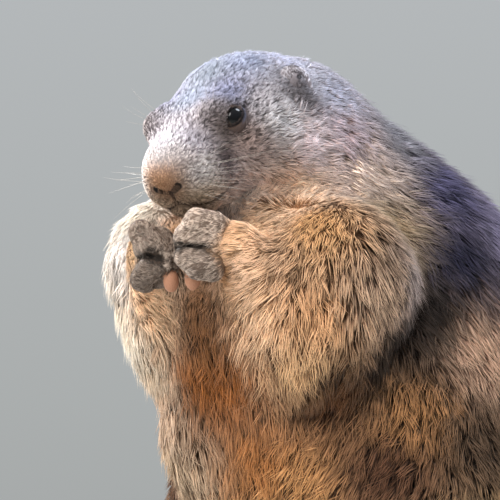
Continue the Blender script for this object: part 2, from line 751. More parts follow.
BODY_MARKINGS = (
    # the neck and the band of orange where arm meets cheek
    ((50, 69, 290), (245, 225, 235), (150, 115, 105)),
    ((51, 77, 272), (245, 222, 210), (240, 215, 190)),
    ((64, 34, 241), (235, 185, 130), (145, 100, 60)),
    ((27, 28, 238), (245, 210, 175), (245, 205, 160)),
    ((65, 85, 247), (216, 187, 145), (106, 81, 57)),
    # the arms
    ((39, -3, 229), (245, 200, 160), (185, 140, 95)),
    ((43, 0, 215), (245, 208, 178), (190, 150, 112)),
    ((34, -3, 210), (180, 125, 70), (105, 70, 35)),
    ((45, 7, 194), (245, 208, 172), (180, 135, 98)),
    ((69, 19, 199), (245, 190, 140), (125, 85, 50)),
    ((95, 47, 210), (225, 190, 160), (75, 55, 45)),
    ((92, 81, 218), (210, 190, 185), (50, 45, 45)),
    ((63, 18, 168), (245, 200, 150), (125, 85, 52)),
    ((75, 37, 157), (75, 48, 26), (20, 12, 5)),
    # the dark fold behind the arm, and the back
    ((81, 109, 203), (10, 10, 12), (3, 3, 3)),
    ((84, 96, 190), (10, 8, 10), (3, 3, 3)),
    ((83, 75, 175), (25, 20, 15), (10, 5, 5)),
    ((67, 48, 147), (95, 55, 25), (40, 20, 5)),
    ((81, 127, 232), (60, 60, 85), (10, 10, 25)),
    ((60, 137, 267), (115, 110, 145), (35, 35, 55)),
    ((40, 120, 300), (176, 172, 180), (66, 64, 74)),
    ((76, 172, 246), (170, 160, 190), (55, 55, 70)),
    ((0, 235, 215), (132, 130, 142), (38, 37, 46)),
    ((0, 272, 120), (150, 136, 122), (42, 36, 35)),
    # flank, thigh, belly and chest
    ((92, 130, 182), (245, 205, 175), (150, 110, 90)),
    ((85, 94, 148), (205, 150, 100), (50, 35, 20)),
    ((101, 127, 132), (125, 100, 80), (25, 20, 15)),
    ((100, 200, 110), (170, 148, 122), (44, 36, 32)),
    ((82, 80, 115), (115, 80, 60), (25, 15, 10)),
    ((108, 130, 75), (180, 148, 108), (48, 36, 28)),
    ((85, 80, 35), (170, 132, 90), (52, 37, 26)),
    ((39, 48, 105), (222, 165, 108), (90, 58, 36)),
    ((21, 36, 121), (195, 130, 75), (80, 50, 25)),
    ((0, 30, 80), (196, 138, 84), (82, 54, 32)),
    ((0, 130, 5), (150, 112, 78), (62, 44, 31)),
    ((9, 12, 164), (170, 102, 45), (68, 38, 14)),
    ((0, 8, 186), (125, 80, 42), (48, 28, 15)),
    ((0, 6, 198), (155, 110, 75), (65, 45, 30)),
    # feet and tail
    ((60, 74, 12), (180, 152, 122), (96, 75, 57)),
    ((-5, 300, 40), (126, 98, 72), (42, 32, 26)),
    ((-35, 340, 25), (102, 78, 58), (34, 26, 20)),
    ((-60, 384, 15), (44, 35, 31), (17, 14, 13)),
)
FAR_SIDE_MARKINGS = (
    ((-38, 4, 198), (245, 208, 170), (230, 185, 145)),
    ((-39, -3, 229), (238, 205, 165), (170, 125, 85)),
    ((-27, 28, 238), (235, 195, 150), (180, 130, 85)),
    ((-61, 17, 233), (245, 238, 232), (240, 232, 226)),
    ((-61, 29, 250), (246, 238, 226), (205, 190, 170)),
    ((-72, 30, 190), (248, 238, 222), (200, 180, 156)),
    ((-88, 50, 212), (240, 230, 216), (180, 164, 146)),
    ((-63, 18, 168), (240, 222, 196), (165, 135, 104)),
    ((-57, 42, 145), (212, 185, 162), (150, 118, 92)),
    ((-55, 40, 115), (232, 206, 176), (150, 120, 92)),
)


def linear(colour):
    """A colour as a screen shows it, from 0 to 255, turned into amounts of light."""
    share = np.array(colour, float) / 255.0
    return np.where(share <= 0.04045, share / 12.92, ((share + 0.055) / 1.055) ** 2.4)


def tip_and_root(tip, root):
    return np.concatenate([linear(tip), linear(root)])


MARKING_SOFTNESS = 7.5
# The right arm has markings of its own, so those of the left arm aren't repeated there
marking_places, marking_rows = both_sides(HEAD_MARKINGS, BODY_MARKINGS)
marking_values = np.array([tip_and_root(*row[2:]) for row in marking_rows])
ARM_INNER, ARM_BACK, ARM_LOW, ARM_HIGH = -20.0, 60.0, 100.0, 252.0
across, behind, height = marking_places.T
kept = (across > ARM_INNER) | (behind > ARM_BACK) | (height > ARM_HIGH) | (height < ARM_LOW)
marking_places = np.concatenate([marking_places[kept], [row[0] for row in FAR_SIDE_MARKINGS]])
marking_values = np.concatenate([marking_values[kept], [tip_and_root(*row[1:]) for row in FAR_SIDE_MARKINGS]])
HAND_COLOURS = tip_and_root((208, 188, 172), (92, 74, 62))
HAND_LOW, HAND_HIGH = 204.0, 238.0
LEFT_HAND_LIGHT, RIGHT_HAND_LIGHT = 1.05, 0.9
arms = Melted(arm_forms(), ARM_JOIN)
creases = {side: crease_form(side) for side in SIDES.values()}
print("markings at", len(marking_places), "places")


# %% Tip and root colours at any point
def markings_at(points):
    """Six numbers a point: the colour of the hair's tip, then of its root."""
    return blended(points, marking_places, marking_values, MARKING_SOFTNESS)


def hand_markings_at(points):
    """Grey brown hands: paler high up, dark in the furrow, and of the arm's own colour at the wrist."""
    left = points[:, 0] > 0.0
    light = 0.6 + 0.5 * rising(points[:, 2], HAND_LOW, HAND_HIGH)
    light *= np.where(left, LEFT_HAND_LIGHT, RIGHT_HAND_LIGHT)
    furrow = np.where(left, creases[1.0].distance(points), creases[-1.0].distance(points))
    light *= 0.12 + 0.88 * rising(furrow, 0.2, 2.4)
    wrist = rising(arms.distance(points), 3.0, -4.0)[:, None]
    return HAND_COLOURS * light[:, None] * (1.0 - wrist) + markings_at(points) * wrist


# %% [markdown]
# ## The lie of the coat
#
# Hair grows backwards from the nose, parts round the eyes, runs over the crown and down the back, and
# fans out from the crook of the arm: forwards along the forearm, straight down over the elbow, and
# back over the shoulder. Again named places carry a direction each.

# %% Directions at named places
HEAD_LIE = (
    ((0, -3, -2), (0.0, 0.3, 1.0)),
    ((0, 3, 8), (0.0, 0.9, 0.55)),
    ((9, 2, -3), (0.5, 0.85, 0.1)),
    ((0, 20, 16), (0.0, 1.0, 0.25)),
    ((19, 8, -4), (0.3, 0.95, -0.05)),
    ((9, 2, -16), (0.5, 0.6, -0.5)),
    ((0, 10, -32), (0.0, 0.9, -0.4)),
    ((23, 24, -9), (0.15, 0.95, -0.2)),
    ((32, 35, 1), (0.1, 0.97, -0.15)),
    ((25, 28, 11), (0.12, 0.95, -0.1)),
    ((26, 42, 23), (0.15, 0.92, 0.35)),
    ((38, 53, 12), (0.1, 1.0, 0.0)),
    ((0, 45, 28), (0.0, 1.0, 0.1)),
    ((0, 78, 32), (0.0, 1.0, -0.15)),
    ((26, 96, 20), (0.2, 0.95, -0.25)),
    ((42, 60, -12), (0.15, 0.93, -0.3)),
    ((30, 50, -32), (0.15, 0.9, -0.35)),
    ((10, 32, -36), (0.1, 0.95, -0.2)),
)
BODY_LIE = (
    ((52, 75, 288), (0.2, 0.85, -0.45)),
    ((43, 75, 316), (0.25, 0.9, -0.2)),
    ((0, 110, 335), (0.0, 0.85, -0.5)),
    ((60, 80, 258), (0.15, 0.75, -0.6)),
    ((27, 30, 238), (-0.3, -0.7, -0.2)),
    ((39, -3, 229), (-0.6, -0.8, -0.1)),
    ((43, 0, 215), (-0.45, -0.7, -0.5)),
    ((45, 7, 194), (-0.3, -0.35, -0.9)),
    ((64, 34, 241), (0.0, -0.2, -1.0)),
    ((69, 19, 199), (0.0, -0.1, -1.0)),
    ((95, 47, 210), (0.12, 0.35, -0.92)),
    ((92, 81, 218), (0.1, 0.6, -0.8)),
    ((66, 90, 247), (0.2, 0.75, -0.6)),
    ((63, 18, 168), (-0.1, -0.1, -1.0)),
    ((75, 40, 157), (0.0, 0.05, -1.0)),
    ((9, 12, 164), (0.0, -0.1, -1.0)),
    ((81, 127, 232), (0.1, 0.5, -0.85)),
    ((92, 130, 182), (0.05, 0.3, -0.95)),
    ((85, 94, 148), (-0.1, -0.2, -0.97)),
    ((82, 80, 115), (-0.25, -0.4, -0.88)),
    ((62, 62, 99), (-0.45, -0.4, -0.8)),
    ((39, 48, 105), (-0.3, -0.2, -0.93)),
    ((0, 190, 275), (0.0, 0.75, -0.65)),
    ((0, 245, 200), (0.0, 0.3, -0.95)),
    ((0, 280, 90), (0.0, 0.35, -0.95)),
    ((104, 160, 120), (0.1, 0.3, -0.95)),
    ((98, 230, 80), (0.05, 0.4, -0.9)),
    ((108, 120, 80), (0.05, -0.2, -0.95)),
    ((90, 80, 40), (0.0, -0.5, -0.8)),
    ((0, 40, 90), (0.0, -0.2, -1.0)),
    ((-20, 318, 55), (-0.3, 0.9, -0.15)),
    ((-20, 318, 5), (-0.3, 0.9, 0.1)),
    ((-62, 381, 15), (-0.55, 0.8, -0.1)),
)
LIE_SOFTNESS = 7.0
lie_places, lie_rows = both_sides(HEAD_LIE, BODY_LIE)
lie_values = np.array([turn @ np.array((side * x, y, z)) for side, turn, (x, y, z) in lie_rows])
lie_values /= np.linalg.norm(lie_values, axis=1, keepdims=True)


def body_lie(points):
    return blended(points, lie_places, lie_values, LIE_SOFTNESS)


def hand_lie(points):
    """Over the fist towards the midline, and down a little."""
    side = np.sign(points[:, :1])
    return np.concatenate([-side, np.full_like(side, -0.45), np.full_like(side, -0.25)], axis=1)


def foot_lie(points):
    return np.tile(np.array((0.0, -1.0, -0.15)), (len(points), 1))


def ear_lie(points):
    """From the ear's root up and back to its rim."""
    return np.tile(HEAD_TURN @ np.array((0.0, 0.5, 1.0)), (len(points), 1))


# %% [markdown]
# ## Tufts
#
# A single marmot hair is a tenth of a millimetre thick, far too fine to model two million times. So
# each tuft stands for a few hairs that cling together: a spindle of six triangles, with its root
# under the skin, its widest place half way along, and a sharp tip. Tufts are scattered at random over
# the skin, more of them where the hair is short. Neighbours lean towards one another at their tips,
# because real hair clumps, and the tips are set by the distance to the body, so that the coat ends
# where the solid does. A lot drawn for each tuft says how high it stands and, later, how pale it is.

# %% Places for the roots
chance = np.random.default_rng(11)


def triangles_of(mesh):
    """Corner numbers, map places and corner normals of a mesh's triangles."""
    mesh.calc_loop_triangles()
    count = len(mesh.loop_triangles)
    verts, loops = np.empty(count * 3, np.int32), np.empty(count * 3, np.int32)
    mesh.loop_triangles.foreach_get("vertices", verts)
    mesh.loop_triangles.foreach_get("loops", loops)
    uv = np.empty(len(mesh.loops) * 2, np.float32)
    mesh.uv_layers[UV_NAME].data.foreach_get("uv", uv)
    normals = np.empty(len(mesh.vertices) * 3, np.float32)
    mesh.vertices.foreach_get("normal", normals)
    return verts.reshape(-1, 3), uv.reshape(-1, 2)[loops.reshape(-1, 3)], normals.reshape(-1, 3).astype(float)


def scattered(obj, hairs_per_mm2):
    """Random places on a mesh, as many to the square millimetre as the function asks for there."""
    points = corners_of(obj.data)
    verts, uv, normals = triangles_of(obj.data)
    a, b, c = (points[verts[:, k]] for k in range(3))
    area = 0.5 * np.linalg.norm(np.cross(b - a, c - a), axis=1)
    wanted = area * hairs_per_mm2(points)[verts].mean(axis=1)
    total = np.cumsum(wanted)
    count = int(total[-1])
    picks = np.searchsorted(total, (np.arange(count) + chance.random(count)) * total[-1] / count)
    picks = np.minimum(picks, len(verts) - 1)
    u, v = chance.random(count), chance.random(count)
    over = u + v > 1.0
    u[over], v[over] = 1.0 - u[over], 1.0 - v[over]
    share = np.stack([1.0 - u - v, u, v], axis=1)[:, :, None]
    normal = (normals[verts[picks]] * share).sum(axis=1)
    normal /= np.linalg.norm(normal, axis=1, keepdims=True)
    return (points[verts[picks]] * share).sum(axis=1), normal, (uv[picks] * share).sum(axis=1)


# %% Clumps
HAIRS_PER_CLUMP = 7
SWELLS, SWELL_GAIN = 6, 1.6


def clump_of(roots):
    """For each root the nearest clump's middle, which is one of the roots, and the clump's number."""
    middles = chance.permutation(len(roots))[: max(1, len(roots) // HAIRS_PER_CLUMP)]
    tree = kdtree.KDTree(len(middles))
    for number, index in enumerate(middles):
        tree.insert(roots[index], number)
    tree.balance()
    nearest = np.array([tree.find(root)[1] for root in roots])
    return middles[nearest], nearest


def waves(points, length, seed):
    """A slow random swell over the body, mostly between -1 and 1."""
    draw = np.random.default_rng(seed)
    total = np.zeros(len(points))
    for _ in range(SWELLS):
        heading = draw.normal(size=3)
        heading /= np.linalg.norm(heading)
        pace = 2.0 * math.pi / (length * draw.uniform(0.7, 1.4))
        total += np.sin(points @ heading * pace + draw.uniform(0, 6.3))
    return total / SWELLS * SWELL_GAIN


# %% The shape of every tuft
WIDEST_AT, WIDEST_HEIGHT = 0.5, 0.68
TIP_LEAN = 0.58
LENGTH_RANGE = (0.78, 1.18)
LENGTH_SWELL, LENGTH_WAVE, RISE_SWELL, RISE_WAVE = 0.10, 38.0, 0.14, 24.0
CLUMP_SWAY, TUFT_SWAY = 13.0, 11.0
CLUMP_LOT, TUFT_LOT = 0.7, 0.3
SHORT_BELOW = 4.5
LOWEST_RISE, RISE_BY_LOT, RISE_SPREAD = 0.52, 0.62, 0.05
STRAY_LOT, STRAY_RISE = 0.9, 1.2
LEAST_LIFT, STEEPEST = 0.04, 0.55
ROOT_DEPTH, ROOT_DEPTH_BY_LENGTH = 0.25, 0.03
KEEL_HEIGHT = 0.7


def tuft_points(roots, normals, lie, length, depth, width, form):
    """Root, three corners of the widest place and tip of every tuft, and its lot from 0 to 1."""
    count = len(roots)
    middle, number = clump_of(roots)
    lie = lie - normals * (lie * normals).sum(axis=1, keepdims=True)
    lie /= np.maximum(np.linalg.norm(lie, axis=1, keepdims=True), 1e-6)
    side = np.cross(normals, lie)
    sway = chance.normal(0.0, CLUMP_SWAY, number.max() + 1)[number] + chance.normal(0.0, TUFT_SWAY, count)
    sway = np.radians(sway)[:, None]
    lie = lie * np.cos(sway) + side * np.sin(sway)
    side = np.cross(normals, lie)
    length = length * chance.uniform(*LENGTH_RANGE, count)
    length *= 1.0 + LENGTH_SWELL * waves(roots, LENGTH_WAVE, 3)
    lot = CLUMP_LOT * chance.random(number.max() + 1)[number] + TUFT_LOT * chance.random(count)
    lot = 0.5 + (lot - 0.5) * np.clip(length / SHORT_BELOW, 0.3, 1.0)
    rise = LOWEST_RISE + RISE_BY_LOT * lot + chance.normal(0.0, RISE_SPREAD, count)
    rise *= 1.0 + RISE_SWELL * waves(roots, RISE_WAVE, 5)
    rise *= np.where(lot > STRAY_LOT, STRAY_RISE, 1.0)
    height = np.minimum(depth * np.clip(rise, 0.3, 1.4) + LEAST_LIFT * length, STEEPEST * length)
    along = np.sqrt(np.maximum(length**2 - height**2, 0.0))
    tip = roots + lie * along[:, None] + normals * height[:, None]
    tip = tip + TIP_LEAN * (tip[middle] - tip) * chance.uniform(0.6, 1.0, count)[:, None]
    widest = roots + lie * (WIDEST_AT * along)[:, None] + normals * (WIDEST_HEIGHT * height)[:, None]
    for points, level in ((tip, height - depth), (widest, WIDEST_HEIGHT * height - depth)):
        points -= normals * np.clip(form.distance(points) - level, -4.0, 30.0)[:, None]
    root = roots - normals * (ROOT_DEPTH + ROOT_DEPTH_BY_LENGTH * length)[:, None]
    half = (0.5 * width)[:, None]
    keel = widest + normals * (KEEL_HEIGHT * half)
    corners = [root, widest + side * half, widest - side * half, keel, tip]
    return np.stack(corners, axis=1), lot


TUFT_FACES = np.array(((0, 2, 1), (0, 3, 2), (0, 1, 3), (1, 2, 4), (2, 3, 4), (3, 1, 4)))
TUFT_ALONG = np.array((0.0, 0.5, 0.5, 0.54, 1.0))
LOWEST_TUFT = 0.3
TUFT_PATCH = np.array(((0.0, -0.0015), (-0.0015, 0.0), (0.0015, 0.0), (0.0, 0.0004), (0.0, 0.0015)))


# %% Tufts into a mesh
def set_attribute(mesh, name, kind, values):
    attribute = mesh.attributes.new(name, kind, "POINT")
    field = "color" if kind == "FLOAT_COLOR" else "value"
    attribute.data.foreach_set(field, np.ascontiguousarray(values, np.float32).ravel())


def set_colours(mesh, colours):
    """Stores the tip and root colours of a mesh's points, six numbers each."""
    solid = np.ones((len(colours), 1))
    set_attribute(mesh, "tip_colour", "FLOAT_COLOR", np.concatenate([colours[:, :3], solid], axis=1))
    set_attribute(mesh, "root_colour", "FLOAT_COLOR", np.concatenate([colours[:, 3:], solid], axis=1))


def mesh_from_tufts(name, tufts, uv, colours, lot):
    """One joined mesh of tufts, with their colours, their place along the hair and their map."""
    count, corners = len(tufts), tufts.shape[1]
    faces = (TUFT_FACES[None] + (np.arange(count) * corners)[:, None, None]).reshape(-1, 3)
    mesh = bpy.data.meshes.new(name)
    mesh.vertices.add(count * corners)
    mesh.loops.add(len(faces) * 3)
    mesh.polygons.add(len(faces))
    mesh.loops.foreach_set("vertex_index", faces.astype(np.int32).ravel())
    mesh.polygons.foreach_set("loop_start", np.arange(0, len(faces) * 3, 3, dtype=np.int32))
    mesh.update(calc_edges=True)
    points = tufts.reshape(-1, 3)
    points[:, 2] = np.maximum(points[:, 2], LOWEST_TUFT)
    put_corners(mesh, points)
    layer = mesh.uv_layers.new(name=UV_NAME)
    per_corner = (uv[:, None, :] + TUFT_PATCH[None]).reshape(-1, 2)
    layer.data.foreach_set("uv", per_corner[faces.ravel()].astype(np.float32).ravel())
    each = np.repeat(np.arange(count), corners)
    set_colours(mesh, colours[each])
    set_attribute(mesh, "along", "FLOAT", np.tile(TUFT_ALONG, count))
    set_attribute(mesh, "lot", "FLOAT", lot[each])
    mesh.shade_smooth()
    return new_object(name, mesh)


# %% [markdown]
# ## Finishes
#
# One node group makes the colour of hair. It takes the tip and root colours, how far along the hair
# the point is and a lot drawn for each tuft, and returns the colour: dark low down, pale at the end,
# some tufts lighter and some darker than their neighbours. Skin uses the same group with a place
# close to the root. The shaders themselves stay in the materials.

# %% The hair colour group
def new_node(nodes, kind, inputs=(), **settings):
    """A shader node with its settings and the plain values of some of its inputs."""
    node = nodes.new(kind)
    for name, value in settings.items():
        setattr(node, name, value)
    for name, value in dict(inputs).items():
        node.inputs[name].default_value = value
    return node


def link_all(tree, pairs):
    for source, target in pairs:
        tree.links.new(source, target)


# A mix node has sockets for several kinds of value: these are the numbers of those for colours
MIX_A, MIX_B, MIX_RESULT = 6, 7, 2
TIP_FROM, TIP_FULL = 0.35, 0.88
LOW_LOT, LOWEST_LOT = 0.55, 0.10


def hair_colour_group():
    group = bpy.data.node_groups.new("hair colour", "ShaderNodeTree")
    for name in ("Tip", "Root", "Along", "Lot", "Contrast"):
        kind = "NodeSocketColor" if name in ("Tip", "Root") else "NodeSocketFloat"
        group.interface.new_socket(name=name, in_out="INPUT", socket_type=kind)
    group.interface.new_socket(name="Colour", in_out="OUTPUT", socket_type="NodeSocketColor")
    nodes = group.nodes
    given, result = nodes.new("NodeGroupInput").outputs, nodes.new("NodeGroupOutput").inputs
    smooth, colours = {"interpolation_type": "SMOOTHSTEP"}, {"data_type": "RGBA"}
    ramp = new_node(nodes, "ShaderNodeMapRange", {"From Min": TIP_FROM, "From Max": TIP_FULL}, **smooth)
    blend = new_node(nodes, "ShaderNodeMix", **colours)
    low_lot = new_node(nodes, "ShaderNodeMapRange", {"From Min": LOW_LOT, "From Max": LOWEST_LOT}, **smooth)
    share = new_node(nodes, "ShaderNodeMath", operation="MULTIPLY")
    darker = new_node(nodes, "ShaderNodeMix", **colours)
    around = new_node(nodes, "ShaderNodeMath", {1: 0.5}, operation="SUBTRACT")
    gain = new_node(nodes, "ShaderNodeMath", {2: 1.0}, operation="MULTIPLY_ADD")
    scaled = new_node(nodes, "ShaderNodeVectorMath", operation="SCALE")
    link_all(group, (
        # from the root's colour to the tip's
        (given["Along"], ramp.inputs["Value"]),
        (ramp.outputs["Result"], blend.inputs["Factor"]),
        (given["Root"], blend.inputs[MIX_A]),
        (given["Tip"], blend.inputs[MIX_B]),
        # a tuft with a low lot keeps more of the root's colour
        (given["Lot"], low_lot.inputs["Value"]),
        (low_lot.outputs["Result"], share.inputs[0]),
        (given["Contrast"], share.inputs[1]),
        (share.outputs[0], darker.inputs["Factor"]),
        (blend.outputs[MIX_RESULT], darker.inputs[MIX_A]),
        (given["Root"], darker.inputs[MIX_B]),
        # and the whole is lighter or darker by the lot
        (given["Lot"], around.inputs[0]),
        (around.outputs[0], gain.inputs[0]),
        (given["Contrast"], gain.inputs[1]),
        (darker.outputs[MIX_RESULT], scaled.inputs[0]),
        (gain.outputs[0], scaled.inputs["Scale"]),
        (scaled.outputs["Vector"], result["Colour"]),
    ))
    return group


hair_colour = hair_colour_group()
print("hair colour group:", len(hair_colour.nodes), "nodes")


# %% Coat and skin materials
MATT = 0.12
SHEEN, SHEEN_ROUGHNESS = 0.04, 0.4
SKIN_CONTRAST = 0.4


def stored(nodes, name, output="Color"):
    """What a mesh stores under a name at each of its points."""
    return new_node(nodes, "ShaderNodeAttribute", attribute_name=name).outputs[output]


def plain_material(name, roughness, specular=MATT):
    material = bpy.data.materials.new(name)
    material.use_nodes = True
    shader = material.node_tree.nodes["Principled BSDF"]
    shader.inputs["Roughness"].default_value = roughness
    shader.inputs["Specular IOR Level"].default_value = specular
    return material, material.node_tree, shader


def haired_material(name, roughness, settings):
    """A material of the hair's colour, with the settings of its colour group."""
    material, tree, shader = plain_material(name, roughness)
    group = new_node(tree.nodes, "ShaderNodeGroup", node_tree=hair_colour)
    for setting, value in settings.items():
        group.inputs[setting].default_value = value
    link_all(tree, (
        (stored(tree.nodes, "tip_colour"), group.inputs["Tip"]),
        (stored(tree.nodes, "root_colour"), group.inputs["Root"]),
        (group.outputs["Colour"], shader.inputs["Base Color"]),
    ))
    return material, tree, shader, group


def coat_material(name, roughness, contrast):
    material, tree, shader, group = haired_material(name, roughness, {"Contrast": contrast})
    shader.inputs["Sheen Weight"].default_value = SHEEN
    shader.inputs["Sheen Roughness"].default_value = SHEEN_ROUGHNESS
    link_all(tree, (
        (stored(tree.nodes, "along", "Fac"), group.inputs["Along"]),
        (stored(tree.nodes, "lot", "Fac"), group.inputs["Lot"]),
    ))
    return material


def grain_of(tree, scale, detail=2.0):
    """A fine noise over the object, as a strength from 0 to 1."""
    noise = new_node(tree.nodes, "ShaderNodeTexNoise", {"Scale": scale, "Detail": detail})
    tree.links.new(tree.nodes.new("ShaderNodeTexCoord").outputs["Object"], noise.inputs["Vector"])
    return noise.outputs["Fac"]


def skin_material(name, along, roughness, scale):
    """Skin seen between hairs: the colours of the hair near its root, and a grain of fine short hair."""
    settings = {"Along": along, "Contrast": SKIN_CONTRAST}
    material, tree, shader, group = haired_material(name, roughness, settings)
    grain = grain_of(tree, scale, 4.0)
    bump = new_node(tree.nodes, "ShaderNodeBump", {"Strength": 0.5, "Distance": 0.0006})
    link_all(tree, (
        (grain, group.inputs["Lot"]),
        (grain, bump.inputs["Height"]),
        (bump.outputs["Normal"], shader.inputs["Normal"]),
    ))
    return material


def colour_ramp(tree, strength, stops):
    """Colours by strength, from stops of a place and a colour each."""
    node = tree.nodes.new("ShaderNodeValToRGB")
    elements = node.color_ramp.elements
    for end, (place, colour) in ((elements[0], stops[0]), (elements[1], stops[-1])):
        end.position, end.color = place, (*colour, 1.0)
    for place, colour in stops[1:-1]:
        elements.new(place).color = (*colour, 1.0)
    tree.links.new(strength, node.inputs["Fac"])
    return node.outputs["Color"]


long_coat = coat_material("long coat", 0.55, 0.95)
short_coat = coat_material("short coat", 0.5, 1.05)
hand_coat = coat_material("hand coat", 0.5, 0.9)
body_skin = skin_material("skin under the coat", 0.1, 0.75, 900.0)
bare_skin = skin_material("bare skin", 0.45, 0.5, 1600.0)

# %% [markdown]
# ## Colouring the skins
#
# The net of the face is fine enough to carry the small dark marks: the rims of the lids, the insides
# of the nostrils, the cleft and the line of the mouth, and on the hands the flesh coloured pads.

# %% Colours on the skins
def darkened(colours, amount, colour):
    return colours * (1.0 - amount[:, None]) + amount[:, None] * np.concatenate([colour, colour])


def near_form(points, forms, start, end):
    """1 within start of one of the forms, falling to 0 at end."""
    reach = np.min([form.distance(points) for form in forms], axis=0)
    return rising(reach, end, start)


LID_COLOUR, LID_EDGE_COLOUR = linear((26, 22, 23)), linear((104, 84, 70))
LOWER_LID_COLOUR, NOSTRIL_COLOUR = linear((84, 84, 98)), linear((22, 17, 15))
LIP_COLOUR, PAD_COLOUR = linear((48, 36, 30)), linear((158, 114, 90))
points = corners_of(skin.data)
skin_colours = markings_at(points)
skin_colours = darkened(skin_colours, near_form(points, lids, 0.5, 1.2) * 0.7, LID_EDGE_COLOUR)
for side in (1.0, -1.0):
    facing, backward, upward = eye_axes(side)
    away = (points - eye_centre(side)) @ HEAD_TURN
    lower = rising(away @ (backward * 0.6 - upward) / EYE_RADIUS, 0.45, 0.65)
    skin_colours = darkened(skin_colours, lower * near_form(points, lids, 1.2, 2.0), LOWER_LID_COLOUR)
skin_colours = darkened(skin_colours, near_form(points, lids + lid_corners, 0.05, 0.5), LID_COLOUR)
skin_colours = darkened(skin_colours, near_form(points, nostrils, 0.15, 0.8), NOSTRIL_COLOUR)
skin_colours = darkened(skin_colours, near_form(points, mouth + cleft, 0.3, 1.0), LIP_COLOUR)
set_colours(skin.data, skin_colours)
for name, piece in small_skins.items():
    points = corners_of(piece.data)
    if name.startswith("hand"):
        side = 1.0 if name.endswith("left") else -1.0
        colours = hand_markings_at(points)
        colours = darkened(colours, near_form(points, [pad_form(side)], 0.2, 0.9), PAD_COLOUR)
    else:
        colours = markings_at(points)
    set_colours(piece.data, colours)
    piece.data.materials.append(bare_skin)
skin.data.materials.append(body_skin)

# %% [markdown]
# ## Growing the coat
#
# The coat is cut into pieces with the names a groom would use, each a joined mesh well under two
# hundred thousand triangles. A tuft belongs to the piece whose middle is nearest its root.

# %% How many tufts to the square millimetre
FRONT_COVER, BACK_COVER = 6.6, 3.3
MOST_PER_MM2 = 4.6
FAR_SIDE, FAR_SHARE = -12.0, 0.72
LOW_PARTS, LOW_SHARE = 14.0, 0.6
HEAD_PIECES = (
    ((0, 8, 0), "muzzle"), ((0, 44, 22), "brow"), ((0, 84, 26), "crown"), ((34, 46, -8), "cheek"),
    ((0, 36, -34), "jaw"),
)
BODY_PIECES = (
    ((50, 84, 285), "neck_side"), ((0, 150, 305), "nape"), ((0, 14, 165), "chest"), ((72, 30, 195), "arm"),
    ((40, 10, 212), "forearm"), ((80, 120, 225), "shoulder"), ((0, 225, 235), "back_upper"),
    ((0, 275, 150), "back"), ((95, 150, 160), "flank"), ((100, 215, 110), "haunch"), ((0, 45, 95), "belly"),
    ((105, 110, 75), "thigh"), ((60, 270, 60), "rump"), ((0, 150, 5), "seat"), ((-35, 340, 28), "tail"),
)
piece_places, _ = both_sides(HEAD_PIECES, BODY_PIECES)
piece_names = ["coat_" + name + ending for (x, _, _), name in HEAD_PIECES + BODY_PIECES
               for ending in (("_left", "_right") if x > MIDLINE else ("",))]


def width_of(length):
    """A tuft's width in millimetres."""
    return 0.28 + 0.022 * length


def tufts_per_mm2(points):
    """Enough tufts to cover the skin several times over, more of them in front than behind and beneath."""
    length = hair_at(points)[:, 1]
    front = rising(points[:, 0], -90.0, -50.0) * rising(points[:, 1], 210.0, 150.0)
    front *= rising(points[:, 2], 60.0, 100.0)
    found = (BACK_COVER + (FRONT_COVER - BACK_COVER) * front) / (0.5 * width_of(length) * length)
    found = np.minimum(found, MOST_PER_MM2)
    found *= np.where(points[:, 0] < FAR_SIDE, FAR_SHARE, 1.0)
    found *= np.where(points[:, 2] < LOW_PARTS, LOW_SHARE, 1.0)
    found[near_form(points, sockets, 0.2, 0.5) > 0.5] = 0.0
    found[near_form(points, nostrils + cleft + mouth, 0.4, 0.8) > 0.5] = 0.0
    found[near_form(points, lids + lid_corners, 0.3, 0.7) > 0.5] = 0.0
    found[points[:, 2] < 2.0] = 0.0
    return found


# %% Grow the body's coat
LONG_FROM = 12.0
roots, normals, root_uv = scattered(skin, tufts_per_mm2)
depth, length = hair_at(roots).T
tufts, lot = tuft_points(roots, normals, body_lie(roots), length, depth, width_of(length), body)
colours = markings_at(roots)
nearest = np.argmin([((roots - place) ** 2).sum(axis=1) for place in piece_places], axis=0)
coat = {}
for number, name in enumerate(piece_names):
    mine = nearest == number
    if mine.any():
        coat[name] = mesh_from_tufts(name, tufts[mine], root_uv[mine], colours[mine], lot[mine])
        coat[name].data.materials.append(short_coat if length[mine].mean() < LONG_FROM else long_coat)
print("body tufts:", len(roots), "pieces:", {name: len(piece.data.polygons) for name, piece in coat.items()})

# %% [markdown]
# ## Short hair on hands, feet and ears
#
# Hands and feet carry hair of a few millimetres that lies flat, and none on the pads or under the
# sole.

# %% Grow the small coats
SMALL_COATS = {
    "ear": (ear_lie, 3.2, 0.4, 2.4), "hand": (hand_lie, 5.0, 0.55, 3.2), "foot": (foot_lie, 5.5, 0.9, 1.0),
}
for name, piece in small_skins.items():
    kind, side = name.split("_")[0], 1.0 if name.endswith("left") else -1.0
    lie_of, hair_length, hair_depth, per_mm2 = SMALL_COATS[kind]

    def wanted(points, kind=kind, side=side, per_mm2=per_mm2):
        found = np.full(len(points), per_mm2)
        found[points[:, 2] < 3.0] = 0.0
        if kind == "hand":
            found[near_form(points, [pad_form(side)], 0.3, 0.5) > 0.5] = 0.0
            found[body.distance(points) < -4.0] = 0.0
        if kind == "foot":
            found[body.distance(points) < -10.0] = 0.0
        return found

    roots, normals, root_uv = scattered(piece, wanted)
    lengths = np.full(len(roots), hair_length)
    tufts, lot = tuft_points(roots, normals, lie_of(roots), lengths, np.full(len(roots), hair_depth),
                             np.full(len(roots), 0.42), small_forms[name])
    colours = hand_markings_at(roots) if kind == "hand" else markings_at(roots)
    coat_name = f"coat_{kind}_{name.split('_')[-1]}"
    coat[coat_name] = mesh_from_tufts(coat_name, tufts, root_uv, colours, lot)
    coat[coat_name].data.materials.append(hand_coat if kind == "hand" else short_coat)
